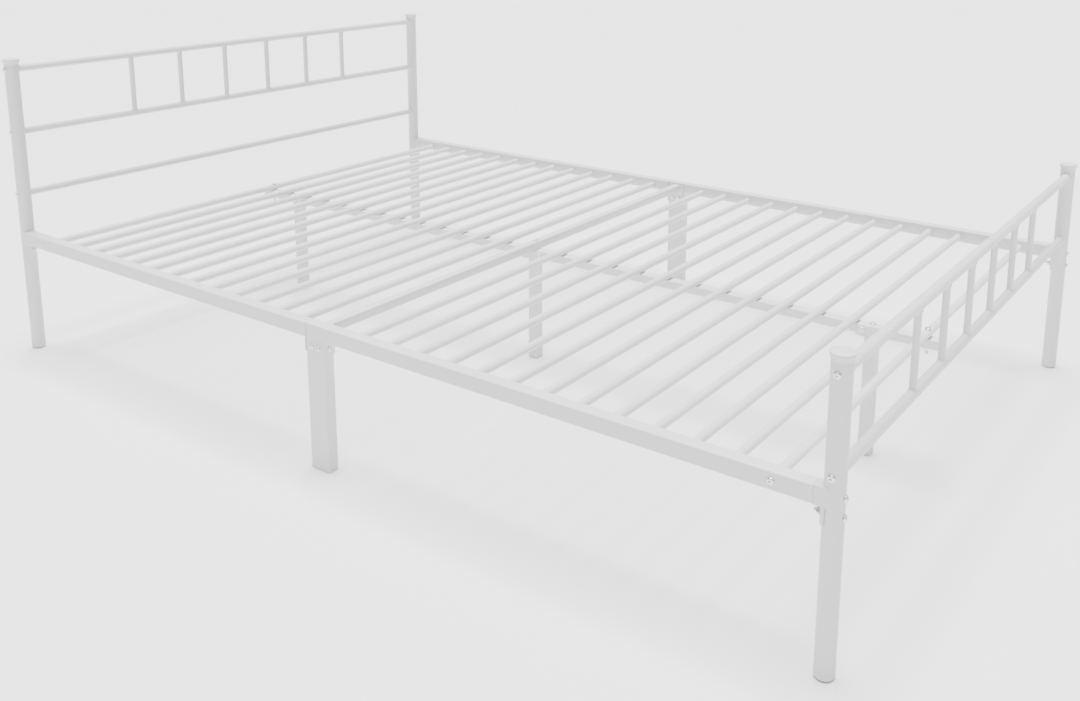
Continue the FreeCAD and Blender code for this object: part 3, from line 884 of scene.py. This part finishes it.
# %% Make the plastic
def moulded_white():
    material, tree, shader, place = new_material("white_plastic")
    duller_white = (0.67, 0.665, 0.655)
    brighter_white = (0.71, 0.705, 0.695)
    drift = noise(tree, place, scale=30, detail=3)
    tint = ramp(tree, drift, [(noise_low, duller_white), (noise_high, brighter_white)])
    tree.links.new(tint, shader.inputs["Base Color"])
    patches = noise(tree, place, scale=220, detail=3)
    tree.links.new(spread(tree, patches, low=0.42, high=0.55), shader.inputs["Roughness"])
    mould_grain = noise(tree, place, scale=2600, detail=2)
    bump(tree, shader, mould_grain, strength=0.25, depth=0.00012)
    shader.inputs["Subsurface Weight"].default_value = 0.06
    shader.inputs["Subsurface Scale"].default_value = 0.002
    return material


# %% [markdown]
# ## Zinc-plated steel
# The bolts and nuts are bright zinc: a metal with a slightly blue cast, patchy where the
# plating crystals differ, with fine tool marks. Cell noise gives the patches in the colour,
# one noise makes the polish uneven, and a finer one gives the marks.

# %% Make the zinc plate
def bright_zinc():
    material, tree, shader, place = new_material("zinc_steel")
    crystal_scale = 900
    crystal_middle = (0.68, 0.70, 0.73)
    crystal_edge = (0.82, 0.83, 0.85)
    cells = tree.nodes.new("ShaderNodeTexVoronoi")
    cells.inputs["Scale"].default_value = crystal_scale
    tree.links.new(place.outputs["Object"], cells.inputs["Vector"])
    distance = cells.outputs["Distance"]
    tint = ramp(tree, distance, [(0.1, crystal_middle), (0.8, crystal_edge)])
    tree.links.new(tint, shader.inputs["Base Color"])
    shader.inputs["Metallic"].default_value = 1.0
    patches = noise(tree, place, scale=1200, detail=3)
    tree.links.new(spread(tree, patches, low=0.32, high=0.48), shader.inputs["Roughness"])
    tool_marks = noise(tree, place, scale=3500, detail=2)
    bump(tree, shader, tool_marks, strength=0.15, depth=0.0001)
    return material


# %% [markdown]
# ## Giving every piece its finish
# The record names a slot for each CAD node, and the new pieces were sorted by slot as they
# were fitted, so one loop dresses them all. Only the material slots of the CAD nodes change.

# %% Assign the finishes
finishes = {
    "white_powder_coat": powder_coat(),
    "white_plastic": moulded_white(),
    "zinc_steel": bright_zinc(),
}


def dress(piece, slot):
    piece.data.materials.clear()
    piece.data.materials.append(finishes[slot])


for entry in frame["record"]["subparts"]:
    dress(frame["nodes"][entry["node"]], entry["material_slot"])
for slot, pieces in pieces_by_slot.items():
    for piece in pieces:
        dress(piece, slot)
    print(slot, "on", len(pieces), "new pieces")

# %% [markdown]
# ## Floor
# The floor is a plain pale sheet. It is matt, so that it takes a soft shadow and shows no
# reflections, and the drift in its tone is too faint to notice.

# %% Lay the floor
floor_size = 40
floor_roughness = 0.9
floor_dark = (0.87, 0.87, 0.87)
floor_light = (0.89, 0.89, 0.89)

select_nothing()
bpy.ops.mesh.primitive_plane_add(size=floor_size, location=(0, 0, 0))
floor = bpy.context.object
floor.name = "floor"
floor_material, floor_tree, floor_shader, floor_place = new_material("pale_floor")
floor_drift = noise(floor_tree, floor_place, scale=1.5, detail=2)
floor_tint = ramp(floor_tree, floor_drift, [(noise_low, floor_dark), (noise_high, floor_light)])
floor_tree.links.new(floor_tint, floor_shader.inputs["Base Color"])
floor_shader.inputs["Roughness"].default_value = floor_roughness
floor.data.materials.append(floor_material)
print("the floor is", floor_size, "metres wide")

# %% [markdown]
# ## Light
# White paint shows its shape only by small steps of grey, so nearly all the light comes from
# straight above, from a sun lamp made as wide and soft as a bright ceiling: tops stay bright
# and the upright faces fall off. A weak low window in front and a faint even fill keep those
# faces and the undersides a soft grey.

# %% Hang the lights
def soft_sky(name, source, strength, softness):
    lamp = bpy.data.lights.new(name, "SUN")
    lamp.energy = strength
    lamp.angle = math.radians(softness)
    holder = bpy.data.objects.new(name, lamp)
    bpy.context.scene.collection.objects.link(holder)
    holder.rotation_euler = (-Vector(source)).to_track_quat("-Z", "Y").to_euler()
    print(name, "is", softness, "degrees wide")


fill_colour = (1.0, 1.0, 1.0, 1)
fill_strength = 0.22

soft_sky("ceiling", source=(-0.06, 0.06, 1.0), strength=11.5, softness=34)
soft_sky("front_window", source=(0.30, -0.93, 0.20), strength=0.9, softness=30)

world = bpy.data.worlds.new("pale_room")
world.use_nodes = True
world.node_tree.nodes["Background"].inputs["Color"].default_value = fill_colour
world.node_tree.nodes["Background"].inputs["Strength"].default_value = fill_strength
bpy.context.scene.world = world
